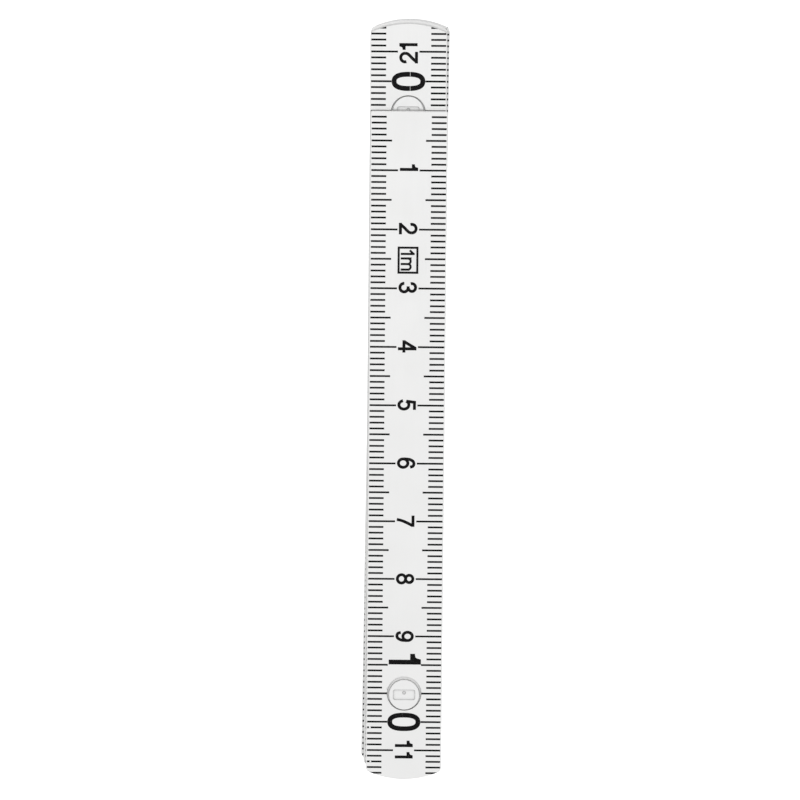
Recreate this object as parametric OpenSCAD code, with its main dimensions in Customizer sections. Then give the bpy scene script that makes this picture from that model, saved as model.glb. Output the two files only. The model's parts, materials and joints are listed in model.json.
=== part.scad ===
// Ten-limb plastic folding rule, one metre long, folded flat.
//
// Frame: +Z is up and out of the numbered face, the limbs lie along Y, and the origin is
// under the middle of the folded stack, on the underside of the last limb.
// Limb 1, which starts the scale, is the top layer; every next limb lies one layer lower.
// Odd joints stand at the -Y end of the stack and even joints at the +Y end.
//
// A limb's own frame: the origin is on its underside, on the axis of the joint at its pin
// end, and +Y runs along it to the joint at its hole end. The pin end carries a fixed
// pivot pin, on which the hole end of the limb above turns.

/* [Limbs] */
// Number of limbs
limb_count = 10; // [4:2:10]
// Distance from joint axis to joint axis, which is one limb's share of the scale
joint_pitch = 100; // [60:5:200]
// Width of a limb
limb_w = 13; // [12:0.5:18]
// Thickness of a limb
limb_t = 2.55; // [2.5:0.05:3.2]
// Gap between neighbouring limbs
limb_gap = 0.05; // [0.03:0.01:0.15]
// Radius of the rounded end that carries a pivot pin, about the joint axis
pin_end_r = 15.4; // [12:0.1:20]
// Radius of the rounded end that turns on a pivot pin, about the joint axis
hole_end_r = 14.85; // [12:0.05:20]
// Radius where a rounded end meets the long edges
corner_r = 1; // [0.4:0.1:2]
// Radius of the four corners where the scale starts and stops square
square_corner_r = 0.3; // [0.1:0.1:1]

/* [Pivot pins] */
// Diameter of the head, which shows in the face as a disc
head_d = 5.2; // [4.6:0.1:5.4]
// Diameter of the recess round the head
recess_d = 5.9; // [5.8:0.1:7]
// Depth of the recess round the head
recess_depth = 0.7; // [0.6:0.05:1.1]
// Distance from the joint axis to the middle of the recess, towards the middle of the limb
recess_shift = 0.2; // [0:0.05:0.25]
// Axial play under the head
head_play = 0.03; // [0.02:0.01:0.1]
// Depth of the head and of the foot below the faces that they lie in
face_inset = 0.03; // [0.01:0.01:0.1]
// Diameter of the shank and of the cam
shank_d = 3.9; // [3.6:0.1:4]
// Radial clearance of the shank in its bore
shank_clearance = 0.05; // [0.02:0.01:0.1]
// Distance across the two flats of the cam
cam_flats = 3; // [2.8:0.1:3.2]
// Length of the tenon across the limb
tenon_l = 3.8; // [3:0.1:4]
// Width of the tenon along the limb
tenon_w = 1.8; // [1.5:0.1:2.4]
// Corner radius of the tenon
tenon_r = 0.35; // [0.1:0.05:0.5]
// Diameter of the foot that is swaged over the tenon
foot_d = 4.8; // [4.6:0.1:5.4]
// Thickness of the foot
foot_t = 0.6; // [0.4:0.05:0.8]
// Depth of the sink mark that the tenon leaves in the head
sink_depth = 0.15; // [0.03:0.01:0.2]
// Diameter of the moulding gate's mark in the head
gate_d = 0.62; // [0.4:0.02:1]
// Depth of the moulding gate's mark
gate_depth = 0.3; // [0.1:0.02:0.36]
// Distance of the moulding gate's mark from the joint axis
gate_shift = 0.35; // [0:0.05:0.6]

/* [Detent springs] */
// Depth of the spring pocket in the underside of a limb
pocket_depth = 0.95; // [0.9:0.05:1]
// Width of the spring pocket
pocket_w = 4.8; // [4.7:0.1:5.2]
// Distance from the joint axis to the far side of the pocket, towards the limb's rounded end
pocket_reach = 5.1; // [5:0.1:6]
// Distance from the joint axis to the peg that the spring hooks round
peg_distance = 4.2; // [4:0.1:4.6]
// Diameter of the peg
peg_d = 2.6; // [2:0.1:2.8]
// Thickness of the spring strip
strip_t = 0.3; // [0.2:0.05:0.35]
// Height of the spring strip
strip_h = 0.8; // [0.6:0.05:0.85]
// Clearance between each leg of the spring and the flat of the cam that it rests on
leg_clearance = 0.02; // [0.01:0.01:0.05]
// Length of a leg past the joint axis, up to its curled tip
leg_reach = 4.1; // [3.5:0.1:4.2]
// Inner radius of the curled tips
tip_r = 0.2; // [0.15:0.05:0.25]

/* [Rest position] */
// Angle by which slack leaves limb 1 turned over limb 2, in degrees
first_joint_turn = -0.1; // [-0.5:0.02:0.5]
// Angle by which slack leaves each limb from the second to the last fanned one turned over
// the next one down, in degrees
joint_turn = 0.22; // [0:0.02:0.3]
// Last limb of the fan; those below it lie in line with it
last_fanned_limb = 5; // [2:1:10]
// Angle of the limbs below the fan about +Z, in degrees
lowest_heading = -0.31; // [-0.5:0.01:0.5]
// Place of the middle joint along X, which centres the fanned stack
middle_joint_x = -0.42; // [-1:0.02:1]
// Distance by which slack in joint 1 pushes the start of the scale away from it
first_limb_push = 0.2; // [0:0.05:0.3]

/* [Hidden] */
$fn = 96;
layer = limb_t + limb_gap; // from the underside of one limb to the underside of the next
middle_joint = limb_count / 2;
cut = 1; // how far a cutting shape runs past the face that it cuts
limb_colour = [0.925, 0.925, 0.92];
pin_colour = [0.94, 0.94, 0.935];
spring_colour = [0.62, 0.64, 0.66];

bore_r = shank_d / 2 + shank_clearance;
leg_x = cam_flats / 2 + leg_clearance; // inner face of a spring leg, from the joint axis
strip_z = (pocket_depth - strip_h) / 2; // underside of the spring strip in its pocket
head_z = layer + limb_t - recess_depth + head_play; // underside of the head, over the foot
top_z = layer + limb_t - face_inset; // top of the head, over the foot's limb

// Number as two digits, as the node names have it
function two(n) = n < 10 ? str("0", n) : str(n);

// Angle of limb n about +Z, measured from the Y axis
function heading(n) =
    n == 1 ? heading(2) + first_joint_turn
    : lowest_heading + max(last_fanned_limb - n, 0) * joint_turn;

// Distance between the two joint axes of limb n, or between its square end and its only joint
function pitch(n) = n == 1 ? joint_pitch + first_limb_push : joint_pitch;

// Step along limb n from its -Y end's joint to its +Y end's
function along(n) = pitch(n) * [-sin(heading(n)), cos(heading(n))];

// End of the stack at which joint n stands: -1 for -Y, 1 for +Y
function joint_side(n) = n % 2 == 1 ? -1 : 1;

// Place of joint n, reckoned from the middle joint
function joint_xy(n) =
    n == middle_joint ? [middle_joint_x, joint_side(n) * joint_pitch / 2]
    : n < middle_joint ? joint_xy(n + 1) + joint_side(n) * along(n + 1)
    : joint_xy(n - 1) + joint_side(n) * along(n);

// Underside of limb n
function limb_z(n) = (limb_count - n) * layer;

// Puts a limb's own frame where limb n lies; even limbs have their pin end at -Y
module at_limb(n) {
    pin_end = n == 1 ? joint_xy(1) + along(1) : joint_xy(n - 1);
    translate([pin_end[0], pin_end[1], limb_z(n)])
        rotate(heading(n) + (n % 2 == 1 ? 180 : 0))
            children();
}

// Rounded end about the origin, pointing to -Y and reaching up to the joint axis
module rounded_end(r) {
    corner_x = limb_w / 2 - corner_r;
    corner_y = sqrt(pow(r - corner_r, 2) - pow(corner_x, 2));
    intersection() {
        circle(r);
        polygon([[0, 0], [-2 * corner_x, -2 * corner_y], [2 * corner_x, -2 * corner_y]]);
    }
    for (side = [-1, 1])
        translate([side * corner_x, -corner_y]) circle(corner_r);
    translate([-limb_w / 2, -corner_y]) square([limb_w, corner_y]);
}

// Square end on the X axis, with the limb on its +Y side
module square_end() {
    inner_w = limb_w - 2 * square_corner_r;
    translate([-inner_w / 2, 0]) square([inner_w, 2 * square_corner_r]);
    translate([-limb_w / 2, square_corner_r]) square([limb_w, square_corner_r]);
    for (side = [-1, 1])
        translate([side * inner_w / 2, square_corner_r]) circle(square_corner_r);
}

// Outline of limb n; the first has no pin end and the last has no hole end
module limb_outline(n, has_pin, has_hole) {
    start = has_pin ? 0 : 2 * square_corner_r;
    stop = has_hole ? pitch(n) : pitch(n) - 2 * square_corner_r;
    translate([-limb_w / 2, start]) square([limb_w, stop - start]);
    if (has_pin) rounded_end(pin_end_r);
    else square_end();
    translate([0, pitch(n)]) mirror([0, 1])
        if (has_hole) rounded_end(hole_end_r);
        else square_end();
}

// Tenon outline, long across the limb
module tenon_outline() {
    inner_l = tenon_l - 2 * tenon_r;
    inner_w = tenon_w - 2 * tenon_r;
    square([tenon_l, inner_w], center = true);
    square([inner_l, tenon_w], center = true);
    for (x = [-1, 1], y = [-1, 1])
        translate([x * inner_l / 2, y * inner_w / 2]) circle(tenon_r);
}

// Spring pocket about the joint axis; the peg's side is at -Y
module pocket_outline() {
    round_r = pocket_w / 2;
    corner = 2 * tip_r;
    translate([0, -peg_distance]) circle(round_r);
    translate([-round_r, -peg_distance]) square([pocket_w, peg_distance + pocket_reach - corner]);
    translate([-round_r + corner, 0]) square([pocket_w - 2 * corner, pocket_reach]);
    for (side = [-1, 1])
        translate([side * (round_r - corner), pocket_reach - corner]) circle(corner);
}

// What is cut from a hole end: head recess, bore, and spring pocket with its peg left standing
module hole_end_cuts() {
    translate([0, -recess_shift, limb_t - recess_depth]) cylinder(d = recess_d, h = recess_depth + cut);
    translate([0, 0, -cut]) cylinder(r = bore_r, h = limb_t + 2 * cut);
    difference() {
        translate([0, 0, -cut]) linear_extrude(pocket_depth + cut) pocket_outline();
        translate([0, -peg_distance, -2 * cut]) cylinder(d = peg_d, h = pocket_depth + 3 * cut);
    }
}

// What is cut from a pin end: tenon socket and foot recess
module pin_end_cuts() {
    translate([0, 0, -cut]) linear_extrude(limb_t + 2 * cut) tenon_outline();
    translate([0, 0, -cut]) cylinder(d = foot_d, h = foot_t + cut);
}

module limb(n) {
    has_pin = n > 1;
    has_hole = n < limb_count;
    color(limb_colour) at_limb(n) difference() {
        linear_extrude(limb_t) limb_outline(n, has_pin, has_hole);
        if (has_pin) pin_end_cuts();
        if (has_hole) translate([0, pitch(n), 0]) hole_end_cuts();
    }
}

// Pin of joint n: its foot and tenon are fixed in limb n + 1, and limb n turns on its shank
module pivot_pin(n) {
    cam_top = layer + pocket_depth;
    place = joint_xy(n);
    color(pin_colour)
        translate([place[0], place[1], limb_z(n + 1)]) rotate(heading(n + 1)) difference() {
            union() {
                translate([0, 0, face_inset]) cylinder(d = foot_d, h = foot_t - face_inset);
                translate([0, 0, foot_t]) linear_extrude(limb_t - foot_t) tenon_outline();
                intersection() {
                    translate([0, 0, limb_t]) cylinder(d = shank_d, h = cam_top - limb_t);
                    translate([-cam_flats / 2, -shank_d, limb_t])
                        cube([cam_flats, 2 * shank_d, cam_top - limb_t]);
                }
                translate([0, 0, cam_top]) cylinder(d = shank_d, h = head_z - cam_top);
                translate([0, 0, head_z]) cylinder(d = head_d, h = top_z - head_z);
            }
            translate([0, 0, top_z - sink_depth]) linear_extrude(sink_depth + cut) tenon_outline();
            translate([0, gate_shift, top_z - gate_depth]) cylinder(d = gate_d, h = gate_depth + cut);
        }
}

// Half of the hairpin that embraces the cam: a quarter of the bend, one leg and its curled tip
module spring_half() {
    tip_x = leg_x + strip_t + tip_r;
    intersection() {
        translate([0, -peg_distance]) difference() {
            circle(leg_x + strip_t);
            circle(leg_x);
        }
        translate([0, -peg_distance - pocket_w]) square(pocket_w);
    }
    translate([leg_x, -peg_distance]) square([strip_t, peg_distance + leg_reach]);
    intersection() {
        translate([tip_x, leg_reach]) difference() {
            circle(tip_r + strip_t);
            circle(tip_r);
        }
        translate([leg_x, leg_reach]) square(tip_x - leg_x);
    }
}

// Hairpin spring of joint n, in the pocket of limb n
module detent_spring(n) {
    color(spring_colour) at_limb(n)
        translate([0, pitch(n), strip_z]) linear_extrude(strip_h)
            for (side = [0, 1]) mirror([side, 0]) spring_half();
}

for (n = [1 : limb_count])
    limb(n);
for (n = [1 : limb_count - 1])
    pivot_pin(n);
for (n = [1 : limb_count - 1])
    detent_spring(n);
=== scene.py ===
"""A white plastic folding rule with black print, folded flat, on a pale studio floor."""
import json
import math

import bpy
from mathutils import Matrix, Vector
from mathutils.geometry import delaunay_2d_cdt


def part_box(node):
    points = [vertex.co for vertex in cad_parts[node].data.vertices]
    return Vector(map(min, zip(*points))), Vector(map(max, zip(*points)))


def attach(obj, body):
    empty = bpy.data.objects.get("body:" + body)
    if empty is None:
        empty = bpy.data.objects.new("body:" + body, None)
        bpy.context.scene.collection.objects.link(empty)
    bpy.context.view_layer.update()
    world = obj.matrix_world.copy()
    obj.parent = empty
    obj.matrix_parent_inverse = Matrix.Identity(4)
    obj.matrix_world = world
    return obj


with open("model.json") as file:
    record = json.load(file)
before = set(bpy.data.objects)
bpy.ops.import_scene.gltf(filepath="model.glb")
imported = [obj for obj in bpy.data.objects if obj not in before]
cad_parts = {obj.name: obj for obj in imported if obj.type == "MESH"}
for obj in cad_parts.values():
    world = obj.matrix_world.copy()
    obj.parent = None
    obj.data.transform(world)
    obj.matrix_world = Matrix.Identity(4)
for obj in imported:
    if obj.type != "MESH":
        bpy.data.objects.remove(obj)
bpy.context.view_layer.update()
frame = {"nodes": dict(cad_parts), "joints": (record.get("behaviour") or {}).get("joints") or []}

MM = 0.001
LIMBS = 10
SHARE = 100  # millimetres of scale on each limb
CORNER_REACH = 0.3  # a square end's corners are the points this close to the furthest one

# Camera, in millimetres and degrees
CAMERA_PLACE = (-2.729, 73.744, 595.254)
CAMERA_TURN = (-7.2657, -0.0764, 0.7489)
CAMERA_LENS = 151.696

# Edges of the CAD solids, in millimetres
LIMB_EDGE = 0.15
PIN_EDGE = 0.04
SPRING_EDGE = 0.03
EDGE_ANGLE = 35  # degrees; an edge that turns less stays as it is
FLAT_ANGLE = 0.5  # degrees; faces that turn less become one
WELD_DISTANCE = 0.001

# The print, in millimetres: s runs along the scale, and v across it from the limb's middle line
INK_TOP = 0.012
INK_ROOT = 0.01
PRINT_HALF_WIDTH = 6.45
PRINT_END_GAP = 0.04  # what stays blank at a limb's rounded end
PRINT_SHIFT = {1: (-0.06, 0), 2: (0.14, 0), 3: (0, 0.12), 4: (0, -0.1), 5: (0, -0.03)}  # (s, v) by limb
MERGE_DISTANCE = 1e-5  # points closer than this become one
ARC_STEP = 9  # degrees between the points of an arc

TICK_WIDTH = 0.31
TICK_OUTER = 6.32
TICK_INNER = {100: 2.8, 10: 1.82, 5: 2.86, 1: 3.8}  # by the step that the tick belongs to
TICKS_PAST_JOINT = 14  # a limb's ticks start this far after its first joint, and end this far past the next

SMALL_NUMERAL = (1.95, 3.16, 0.51)  # width, height, stroke
LARGE_NUMERAL = (3.22, 5.68, 0.83)
DIGIT_STEP = 2.0
DECADE_HALF_STEP = 5
LONE_ONE_SHIFT = 0.15  # how far back a small 1 stands where it is by itself
LARGE_ONE_SHIFT = 0.78  # how far back the 1 of the large 10 stands
NUMERAL_LAG = 0.2  # a numeral at a limb's start stands this far before its tick
NUMERAL_GAIN = 0.0225  # what it makes up for with each centimetre

UNIT_MARK_AT = 25.2
UNIT_BOX = (2.12, 1.585)  # half length, half height
UNIT_BOX_LINE = 0.36
UNIT_LETTER_LINE = 0.37
UNIT_STEM_FOOT = -1.05
UNIT_STEMS = ((-1.06, 0.94), (-0.29, 0.42), (0.66, 0.2), (1.6, 0.05))  # (s, top) of the 1 and the m
UNIT_FLAG = [(-1.68, 0.3), (-1.02, 0.98)]
UNIT_ARCHES = (0.185, 1.13)

# Blanks in the print, in millimetres
WORN_SPOTS = {1: [(106, -5.85, 0.17), (112, -5.72, 0.15)]}  # (s, v, radius) by limb
PRINT_SEAMS = {2: [(102, 108, -0.3)]}  # (start, stop, v) by limb
SEAM_WIDTH = 0.06
RECESS_RADIUS = 2.95
RECESS_SHIFT = 0.2
COVERED_RADIUS = 14.95  # what the limb above covers round a joint, folded or straight

# The darker and the lighter tone of each material
LIMB_TONES = ((0.775, 0.775, 0.77), (0.80, 0.80, 0.797))
PIN_TONES = ((0.77, 0.77, 0.767), (0.79, 0.79, 0.788))
INK_TONES = ((0.002, 0.002, 0.0022), (0.006, 0.006, 0.0065))
STEEL_TONES = ((0.40, 0.42, 0.45), (0.56, 0.57, 0.60))
SCUFF_TONE = (0.5, 0.5, 0.5)  # where the ink is gone

# Painted shade in the gaps: its reach in millimetres, the open share of the sky at which it is full, its
# colour
LIMB_PAINTED_SHADE = (0.25, 0, (0.42, 0.42, 0.415))
PIN_PAINTED_SHADE = (0.5, 0.3, (0.1, 0.1, 0.099))

# Studio, in metres, watts and strengths
FLOOR_HALF_SIZE = 3.0
FLOOR_DROP = 0.05 * MM
FLOOR_TONE = (0.55, 0.55, 0.55)
FLOOR_GLOW = 0.75
LIGHT_AT_EYE_LEVEL = 0.8
LIGHT_OVERHEAD = 0.5
SOFTBOX_PLACE = (-0.05, 0.15, 1.1)
SOFTBOX_SIZE = 0.8
SOFTBOX_POWER = 6.2


def new_object(name, data):
    """An object in the scene with a mesh, a light or a camera."""
    obj = bpy.data.objects.new(name, data)
    bpy.context.scene.collection.objects.link(obj)
    return obj


# Paths of the numerals. A glyph is a list of strokes on a centre-line box from -1 to 1 both ways,
# each with a word: "square" runs its ends on by half the stroke, and "cut" stops them short.

def bow(cx, cy, rx, ry, start, stop, power=2.0):
    """Points on an arc, from one angle to another in degrees; a higher power squares it off."""
    steps = max(4, int(abs(stop - start) / ARC_STEP))
    points = []
    for i in range(steps + 1):
        angle = math.radians(start + (stop - start) * i / steps)
        c, s = math.cos(angle), math.sin(angle)
        x = cx + rx * math.copysign(abs(c) ** (2 / power), c)
        y = cy + ry * math.copysign(abs(s) ** (2 / power), s)
        points.append((x, y))
    return points


def flow(*knots):
    """Points on a smooth curve through the knots."""
    steps = 8
    run = [knots[0], *knots, knots[-1]]
    points = []
    for a, b, c, d in zip(run, run[1:], run[2:], run[3:]):
        for i in range(steps):
            t = i / steps
            points.append(tuple(
                0.5 * (2 * q + (r - p) * t + (2 * p - 5 * q + 4 * r - w) * t * t
                       + (3 * q - p - 3 * r + w) * t * t * t)
                for p, q, r, w in zip(a, b, c, d)
            ))
    return points + [knots[-1]]


def ring(cx, cy, rx, ry, power=2.0):
    """A closed loop, as two strokes that overlap a little."""
    return [
        (bow(cx, cy, rx, ry, -92, 92, power), "cut"),
        (bow(cx, cy, rx, ry, 88, 272, power), "cut"),
    ]


def zero():
    return ring(0, 0, 1, 1, 2.5)


def one():
    return [
        ([(0.24, -0.94), (0.24, 1)], "square"),
        ([(-0.98, 0.58), (0.24, 0.58)], "cut"),
        (flow((-0.7, 0.6), (-0.4, 0.62), (-0.05, 0.77), (0.17, 1.13)), "cut"),
    ]


def two():
    return [
        (bow(0, 0.46, 1, 0.54, 200, 0), "cut"),
        (flow((1, 0.46), (0.9, 0.16), (0.52, -0.12), (-0.1, -0.44), (-0.7, -0.8), (-0.98, -1.0)), "cut"),
        ([(-1, -1), (1, -1)], "square"),
    ]


def three():
    return [
        (bow(-0.04, 0.54, 0.92, 0.46, 200, -72), "cut"),
        (bow(0, -0.47, 1, 0.53, 75, -184), "cut"),
        ([(-0.3, 0.05), (0.35, 0.05)], "cut"),
    ]


def four():
    return [
        ([(0.57, -1), (0.57, 1)], "square"),
        ([(-1.1, -0.42), (1.1, -0.42)], "square"),
        ([(0.44, 1.05), (-1.14, -0.4)], "cut"),
    ]


def five():
    return [
        ([(-0.62, 1), (0.82, 1)], "square"),
        ([(-0.64, 1.0), (-0.88, -0.05)], "cut"),
        (bow(0, -0.36, 1, 0.64, 153, -170), "cut"),
    ]


def six():
    return ring(0, -0.39, 1, 0.61) + [
        (flow((0.93, 0.5), (0.72, 0.86), (0.12, 1.0), (-0.48, 0.86), (-0.88, 0.45), (-1.0, -0.1),
              (-0.99, -0.4)), "cut"),
    ]


def seven():
    return [
        ([(-1, 0.95), (1, 0.95)], "square"),
        (flow((1.08, 0.9), (0.62, 0.42), (0.12, -0.15), (-0.22, -0.68), (-0.38, -1.14)), "cut"),
    ]


def eight():
    return ring(0, 0.53, 0.88, 0.47) + ring(0, -0.47, 1, 0.53)


def nine():
    return [([(-x, -y) for x, y in path], ends) for path, ends in six()]


GLYPHS = [zero, one, two, three, four, five, six, seven, eight, nine]


# Flat shapes: lists of corners (s, v) in millimetres, counter-clockwise

def ribbon(path, thickness, ends="cut"):
    """Outline of a stroke of even thickness along a path."""
    points = [Vector(p) for p in path]
    if ends == "square":
        reach = (points[-1] - points[0]).normalized() * thickness / 2
        points = [points[0] - reach, points[-1] + reach]
    left, right = [], []
    for i, point in enumerate(points):
        along = (points[min(i + 1, len(points) - 1)] - points[max(i - 1, 0)]).normalized()
        side = Vector((-along.y, along.x)) * thickness / 2
        left.append(point + side)
        right.append(point - side)
    return right + left[::-1]


def digit(number, s, style):
    """Outlines of one numeral with its middle at s."""
    width, height, stroke = style
    across, up = (width - stroke) / 2, (height - stroke) / 2
    outlines = []
    for path, ends in GLYPHS[number]():
        outlines.append(ribbon([(s + x * across, y * up) for x, y in path], stroke, ends))
    return outlines


def small_number(value, s):
    """Outlines of a centimetre number with its middle at s."""
    digits = [int(d) for d in str(value)]
    first = s - DIGIT_STEP * (len(digits) - 1) / 2
    if value == 1:
        first -= LONE_ONE_SHIFT
    return [o for i, d in enumerate(digits) for o in digit(d, first + i * DIGIT_STEP, SMALL_NUMERAL)]


def decade_number(value, s):
    """Outlines of a large number that a joint at s parts in the middle."""
    tens = value // 10
    first = s - DECADE_HALF_STEP
    if tens == 1:
        first -= LARGE_ONE_SHIFT
    return digit(tens, first, LARGE_NUMERAL) + digit(0, s + DECADE_HALF_STEP, LARGE_NUMERAL)


def tick(s):
    """Outlines of the two ticks at s, one on each edge."""
    size = next(step for step in TICK_INNER if s % step == 0)
    inner = TICK_INNER[size]
    return [ribbon([(s, side * inner), (s, side * TICK_OUTER)], TICK_WIDTH) for side in (-1, 1)]


def unit_mark(s):
    """Outlines of the boxed letters that give the whole length as one metre."""
    length, height = UNIT_BOX
    box = [[(side * length, -height), (side * length, height)] for side in (-1, 1)]
    box += [[(-length, side * height), (length, side * height)] for side in (-1, 1)]
    stems = [[(x, UNIT_STEM_FOOT), (x, top)] for x, top in UNIT_STEMS]
    curves = [UNIT_FLAG]
    curves += [bow(x, -0.02, 0.475, 0.47, 165, 0) for x in UNIT_ARCHES]
    outlines = []
    for paths, line, ends in (
        (box, UNIT_BOX_LINE, "square"),
        (stems, UNIT_LETTER_LINE, "square"),
        (curves, UNIT_LETTER_LINE, "cut"),
    ):
        outlines += [ribbon([(s + x, y) for x, y in path], line, ends) for path in paths]
    return outlines


def disc(s, v, radius):
    """Outline of a circle."""
    half_count = 24
    angles = [i * math.pi / half_count for i in range(2 * half_count)]
    return [Vector((s + radius * math.cos(angle), v + radius * math.sin(angle))) for angle in angles]


# Where the limbs lie

def joint_place(n):
    """Place of joint n in plan, in millimetres."""
    joint = next(j for j in frame["joints"] if j["name"] == f"fold_{n:02d}")
    return Vector(joint["pos_m"][:2]) / MM


def plan_points(node):
    """A node's vertices in plan, in millimetres."""
    return [Vector(v.co[:2]) / MM for v in frame["nodes"][node].data.vertices]


def square_end(node, joint):
    """Middle of a limb's square end, which lies opposite its only joint."""
    points = plan_points(node)
    reach = max((p - joint).length for p in points)
    corners = [p for p in points if (p - joint).length > reach - CORNER_REACH]
    along = (sum(corners, Vector((0, 0))) / len(corners) - joint).normalized()
    return joint + along * max((p - joint).dot(along) for p in points)


class Face:
    """One face of a limb, with the share of a scale that is printed on it."""

    def __init__(self, limb, back):
        node = f"limb_{limb:02d}"
        start = joint_place(limb - 1) if limb > 1 else square_end(node, joint_place(1))
        end = joint_place(limb) if limb < LIMBS else square_end(node, start)
        if back:
            start, end = end, start
        self.limb = limb
        self.back = back
        self.turn = LIMBS + 1 - limb if back else limb  # which share of the scale this is
        self.first = (self.turn - 1) * SHARE
        self.along = (end - start).normalized()
        self.across = Vector((-self.along.y, self.along.x)) * (-1 if back else 1)
        self.start = start
        self.length = (end - start).length
        self.reach = max((p - end).dot(self.along) for p in plan_points(node))
        low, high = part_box(node)
        self.z = (low if back else high).z / MM
        self.shift = PRINT_SHIFT.get(limb, (0, 0))

    def place(self, s, v, height):
        """A point at s on this limb's share of the scale, at a height out of the face, in metres."""
        plan = self.start + self.along * (s + self.shift[0]) + self.across * (v + self.shift[1])
        z = self.z + (-height if self.back else height)
        return Vector((plan.x, plan.y, z)) * MM

    def outline(self):
        """The part of the face that takes print, less a hair's breadth round the edge."""
        edge = PRINT_HALF_WIDTH
        steps = 32
        sides = [edge * (2 * i / steps - 1) for i in range(steps + 1)]
        shift_s, shift_v = self.shift
        if self.turn == LIMBS:
            far = [(self.length, v) for v in sides]
        else:
            far = [(self.length + math.sqrt(self.reach ** 2 - v * v) - PRINT_END_GAP, v) for v in sides]
        near = [(0, edge), (0, -edge)]
        return [Vector((s - shift_s, v - shift_v)) for s, v in near + far]

    def cut_outs(self):
        """Blanks: the pin's recess, what the limb above always covers, chips and seams."""
        shift_s, shift_v = self.shift
        blanks = []
        if self.turn < LIMBS:
            recess = self.length - (0 if self.back else RECESS_SHIFT)
            blanks.append(disc(recess - shift_s, -shift_v, RECESS_RADIUS))
        if self.turn > 1:
            blanks.append(disc(-shift_s, -shift_v, COVERED_RADIUS))
        if not self.back:
            blanks += [disc(*spot) for spot in WORN_SPOTS.get(self.limb, [])]
            for start, stop, v in PRINT_SEAMS.get(self.limb, []):
                blanks.append(ribbon([(start, v), (stop, v)], SEAM_WIDTH))
        return blanks

    def print_shapes(self):
        """Outlines of all that is printed on the face, with s from the start of the limb."""
        first_tick = 1 if self.turn == 1 else TICKS_PAST_JOINT
        last_tick = SHARE - 1 if self.turn == LIMBS else SHARE + TICKS_PAST_JOINT
        shapes = []
        for s in range(first_tick, last_tick + 1):
            shapes += tick(s)
        numbers = list(range(1 if self.turn == 1 else 2, 10))
        if self.turn < LIMBS:
            shapes += decade_number(self.turn * 10, SHARE)
            numbers.append(11)
        for number in numbers:
            lag = max(NUMERAL_LAG - NUMERAL_GAIN * number, 0)
            shapes += small_number(self.first // 10 + number, number * 10 - lag)
        if self.turn == 1:
            shapes += unit_mark(UNIT_MARK_AT)
        return shapes


# The ink

def print_triangles(face):
    """Points and triangles of the print on a face: all its shapes in one, inside the outline."""
    polygons = [face.outline(), *face.cut_outs()]
    blanks = set(range(1, len(polygons)))
    polygons += face.print_shapes()
    points, corners = [], []
    for polygon in polygons:
        corners.append(list(range(len(points), len(points) + len(polygon))))
        points += polygon
    points, _, triangles, _, _, sources = delaunay_2d_cdt(points, [], corners, 0, MERGE_DISTANCE, True)
    printed = []
    for triangle, source in zip(triangles, sources):
        covering = set(source)
        if 0 in covering and not covering & blanks and len(covering) > 1:
            printed.append(tuple(triangle))
    return points, printed


def slab(name, face, points, triangles):
    """A closed thin solid of ink, standing a hair proud of the face."""
    used = sorted({i for triangle in triangles for i in triangle})
    place = {old: new for new, old in enumerate(used)}
    count = len(used)
    vertices = [face.place(*points[i], INK_TOP) for i in used]
    vertices += [face.place(*points[i], -INK_ROOT) for i in used]
    top = [tuple(place[i] for i in triangle) for triangle in triangles]
    directed = {(a, b) for t in top for a, b in zip(t, t[1:] + t[:1])}
    faces = list(top)
    faces += [tuple(i + count for i in reversed(t)) for t in top]
    faces += [(b, a, a + count, b + count) for a, b in sorted(directed) if (b, a) not in directed]
    if face.back:
        faces = [tuple(reversed(f)) for f in faces]
    mesh = bpy.data.meshes.new(name)
    mesh.from_pydata(vertices, [], faces)
    return new_object(name, mesh)


# Materials

def new_material(name):
    """A node material with its shader, ready to be linked."""
    material = bpy.data.materials.new(name)
    material.use_nodes = True
    return material, material.node_tree, material.node_tree.nodes["Principled BSDF"]


def grain(tree, size, detail=2.0, stretch=(1, 1, 1)):
    """Noise fixed to the object, with features of about a size in millimetres."""
    where = tree.nodes.new("ShaderNodeTexCoord")
    scale = tree.nodes.new("ShaderNodeMapping")
    scale.inputs["Scale"].default_value = [1 / (size * MM * k) for k in stretch]
    noise = tree.nodes.new("ShaderNodeTexNoise")
    noise.inputs["Scale"].default_value = 1
    noise.inputs["Detail"].default_value = detail
    tree.links.new(where.outputs["Object"], scale.inputs["Vector"])
    tree.links.new(scale.outputs["Vector"], noise.inputs["Vector"])
    return noise.outputs["Fac"]


def spread(tree, value, low, high, start=0.3, stop=0.7):
    """A value from start to stop turned into one from low to high."""
    node = tree.nodes.new("ShaderNodeMapRange")
    for name, number in (("From Min", start), ("From Max", stop), ("To Min", low), ("To Max", high)):
        node.inputs[name].default_value = number
    tree.links.new(value, node.inputs["Value"])
    return node.outputs["Result"]


def blend_colours(tree, value, first, second):
    """One colour where the value is 0, and the other where it is 1; each is a tone or an output."""
    node = tree.nodes.new("ShaderNodeMix")
    node.data_type = "RGBA"
    for name, colour in (("A", first), ("B", second)):
        if isinstance(colour, tuple):
            node.inputs[name].default_value = (*colour, 1)
        else:
            tree.links.new(colour, node.inputs[name])
    tree.links.new(value, node.inputs["Factor"])
    return node.outputs["Result"]


def relief(tree, shader, value, depth, strength):
    """Bumps on a shader from a value, with a depth in millimetres."""
    bump = tree.nodes.new("ShaderNodeBump")
    bump.inputs["Distance"].default_value = depth * MM
    bump.inputs["Strength"].default_value = strength
    tree.links.new(value, bump.inputs["Height"])
    tree.links.new(bump.outputs["Normal"], shader.inputs["Normal"])


def add(tree, first, second):
    """Sum of two values."""
    node = tree.nodes.new("ShaderNodeMath")
    tree.links.new(first, node.inputs[0])
    tree.links.new(second, node.inputs[1])
    return node.outputs["Value"]


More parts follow.
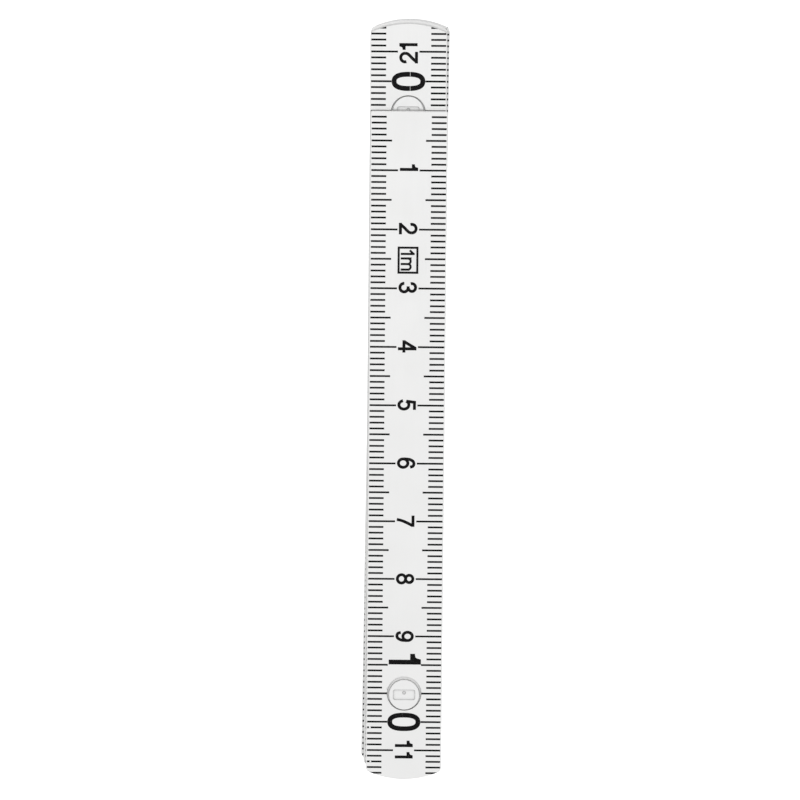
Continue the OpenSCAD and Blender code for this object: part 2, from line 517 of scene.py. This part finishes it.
def shade_crevices(tree, colour, reach, shut, deep):
    """A colour that turns to a deep one in gaps and corners: painted shade where walls hide the sky.

    The reach, in millimetres, is how far off a wall still counts. The deep colour is full where the
    open share of the sky is down to the value of shut.
    """
    sky = tree.nodes.new("ShaderNodeAmbientOcclusion")
    sky.samples = 8
    sky.inputs["Distance"].default_value = reach * MM
    openness = spread(tree, sky.outputs["AO"], 0, 1, start=shut, stop=1)
    return blend_colours(tree, openness, deep, colour)


def moulded_plastic(name, tones, roughness, painted_shade):
    """Satin white plastic: faint clouds of tone, fine spark grain, rub marks, and painted shade in the
    gaps.
    """
    material, tree, shader = new_material(name)
    clouds = grain(tree, size=9, detail=3)
    rubs = grain(tree, size=0.25, detail=3, stretch=(1, 60, 1))
    texture = grain(tree, size=0.12, detail=1)
    tone = blend_colours(tree, spread(tree, clouds, 0, 1), *tones)
    # painted shade: the tone darkens in gaps and corners, where walls hide the sky
    tone = shade_crevices(tree, tone, *painted_shade)
    tree.links.new(tone, shader.inputs["Base Color"])
    tree.links.new(spread(tree, rubs, roughness - 0.07, roughness + 0.07), shader.inputs["Roughness"])
    relief(tree, shader, add(tree, texture, rubs), depth=0.006, strength=0.35)
    shader.inputs["Specular IOR Level"].default_value = 0.4
    return material


def printing_ink(name):
    """Black print on plastic, a little thin in places, with pinholes and short scuffs."""
    material, tree, shader = new_material(name)
    cover = grain(tree, size=0.5, detail=3)
    pinholes = grain(tree, size=0.1, detail=2)
    tone = blend_colours(tree, spread(tree, cover, 0, 1), *INK_TONES)
    gone = spread(tree, pinholes, 0, 1, start=0.72, stop=0.78)
    tree.links.new(blend_colours(tree, gone, tone, SCUFF_TONE), shader.inputs["Base Color"])
    tree.links.new(spread(tree, cover, 0.42, 0.6), shader.inputs["Roughness"])
    shader.inputs["Specular IOR Level"].default_value = 0.05
    return material


def spring_steel(name):
    """Cold-rolled spring strip, brushed along its length."""
    material, tree, shader = new_material(name)
    brushing = grain(tree, size=0.06, detail=2, stretch=(1, 20, 1))
    tone = blend_colours(tree, spread(tree, brushing, 0, 1), *STEEL_TONES)
    tree.links.new(tone, shader.inputs["Base Color"])
    tree.links.new(spread(tree, brushing, 0.25, 0.42), shader.inputs["Roughness"])
    relief(tree, shader, brushing, depth=0.004, strength=0.3)
    shader.inputs["Metallic"].default_value = 1
    return material


def pale_floor(name):
    """Matt white studio board, lit from behind so that shadows on it stay faint."""
    material, tree, shader = new_material(name)
    shader.inputs["Base Color"].default_value = (*FLOOR_TONE, 1)
    shader.inputs["Roughness"].default_value = 0.9
    shader.inputs["Specular IOR Level"].default_value = 0
    shader.inputs["Emission Color"].default_value = (1, 1, 1, 1)
    shader.inputs["Emission Strength"].default_value = FLOOR_GLOW
    return material


# Pieces

def rounded_edges(node, width, material):
    """Gives a CAD solid its moulded edges and its material; the mesh itself stays as it is."""
    obj = frame["nodes"][node]
    obj.data.attributes.remove(obj.data.attributes["custom_normal"])
    obj.data.shade_smooth()
    weld = obj.modifiers.new("weld", "WELD")
    weld.merge_threshold = WELD_DISTANCE * MM
    flats = obj.modifiers.new("flats", "DECIMATE")
    flats.decimate_type = "DISSOLVE"
    flats.angle_limit = math.radians(FLAT_ANGLE)
    bevel = obj.modifiers.new("edges", "BEVEL")
    bevel.width = width * MM
    bevel.segments = 3
    bevel.limit_method = "ANGLE"
    bevel.angle_limit = math.radians(EDGE_ANGLE)
    bevel.use_clamp_overlap = False
    normals = obj.modifiers.new("normals", "WEIGHTED_NORMAL")
    normals.weight = 80
    obj.material_slots[0].material = material


def dress_solids():
    """Edges and materials of the limbs, pins and springs."""
    limb_white = moulded_plastic("limb_white", LIMB_TONES, 0.45, LIMB_PAINTED_SHADE)
    pin_white = moulded_plastic("pin_white", PIN_TONES, 0.4, PIN_PAINTED_SHADE)
    steel = spring_steel("strip_steel")
    for limb in range(1, LIMBS + 1):
        rounded_edges(f"limb_{limb:02d}", LIMB_EDGE, limb_white)
    for joint in range(1, LIMBS):
        rounded_edges(f"pivot_pin_{joint:02d}", PIN_EDGE, pin_white)
        rounded_edges(f"detent_spring_{joint:02d}", SPRING_EDGE, steel)


def print_scales():
    """The print on both faces of every limb."""
    ink = printing_ink("black_print")
    for limb in range(1, LIMBS + 1):
        for side in ("front", "back"):
            face = Face(limb, side == "back")
            piece = slab(f"print_{side}_{limb:02d}", face, *print_triangles(face))
            piece.data.materials.append(ink)
            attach(piece, f"segment_{limb:02d}")


# The studio

def floor():
    """A wide pale floor, just under the rule."""
    half = FLOOR_HALF_SIZE
    mesh = bpy.data.meshes.new("floor")
    corners = [(-half, -half, 0), (half, -half, 0), (half, half, 0), (-half, half, 0)]
    mesh.from_pydata(corners, [], [(0, 1, 2, 3)])
    mesh.materials.append(pale_floor("floor_white"))
    obj = new_object("floor", mesh)
    obj.location.z = -FLOOR_DROP
    obj.visible_diffuse = False
    obj.visible_glossy = False


def softbox():
    """A square light aimed at the middle of the rule."""
    lamp = bpy.data.lights.new("softbox", "AREA")
    lamp.size = SOFTBOX_SIZE
    lamp.energy = SOFTBOX_POWER
    obj = new_object("softbox", lamp)
    obj.location = SOFTBOX_PLACE
    obj.rotation_euler = (-Vector(SOFTBOX_PLACE)).to_track_quat("-Z", "Y").to_euler()


def surroundings():
    """White light from all round, which changes from eye level to straight overhead."""
    world = bpy.data.worlds.new("studio")
    world.use_nodes = True
    tree = world.node_tree
    background = tree.nodes["Background"]
    background.inputs["Color"].default_value = (1, 1, 1, 1)
    where = tree.nodes.new("ShaderNodeTexCoord")
    height = tree.nodes.new("ShaderNodeSeparateXYZ")
    tree.links.new(where.outputs["Generated"], height.inputs["Vector"])
    strength = spread(tree, height.outputs["Z"], LIGHT_AT_EYE_LEVEL, LIGHT_OVERHEAD, start=0, stop=1)
    tree.links.new(strength, background.inputs["Strength"])
    bpy.context.scene.world = world


def camera():
    """The camera, almost straight above."""
    data = bpy.data.cameras.new("camera")
    data.lens = CAMERA_LENS
    data.sensor_width = 36
    data.clip_start = 0.01
    obj = new_object("camera", data)
    obj.location = Vector(CAMERA_PLACE) * MM
    obj.rotation_euler = [math.radians(angle) for angle in CAMERA_TURN]
    bpy.context.scene.camera = obj


camera()
dress_solids()
print_scales()
floor()
surroundings()
softbox()
bpy.context.scene.view_settings.view_transform = "Standard"
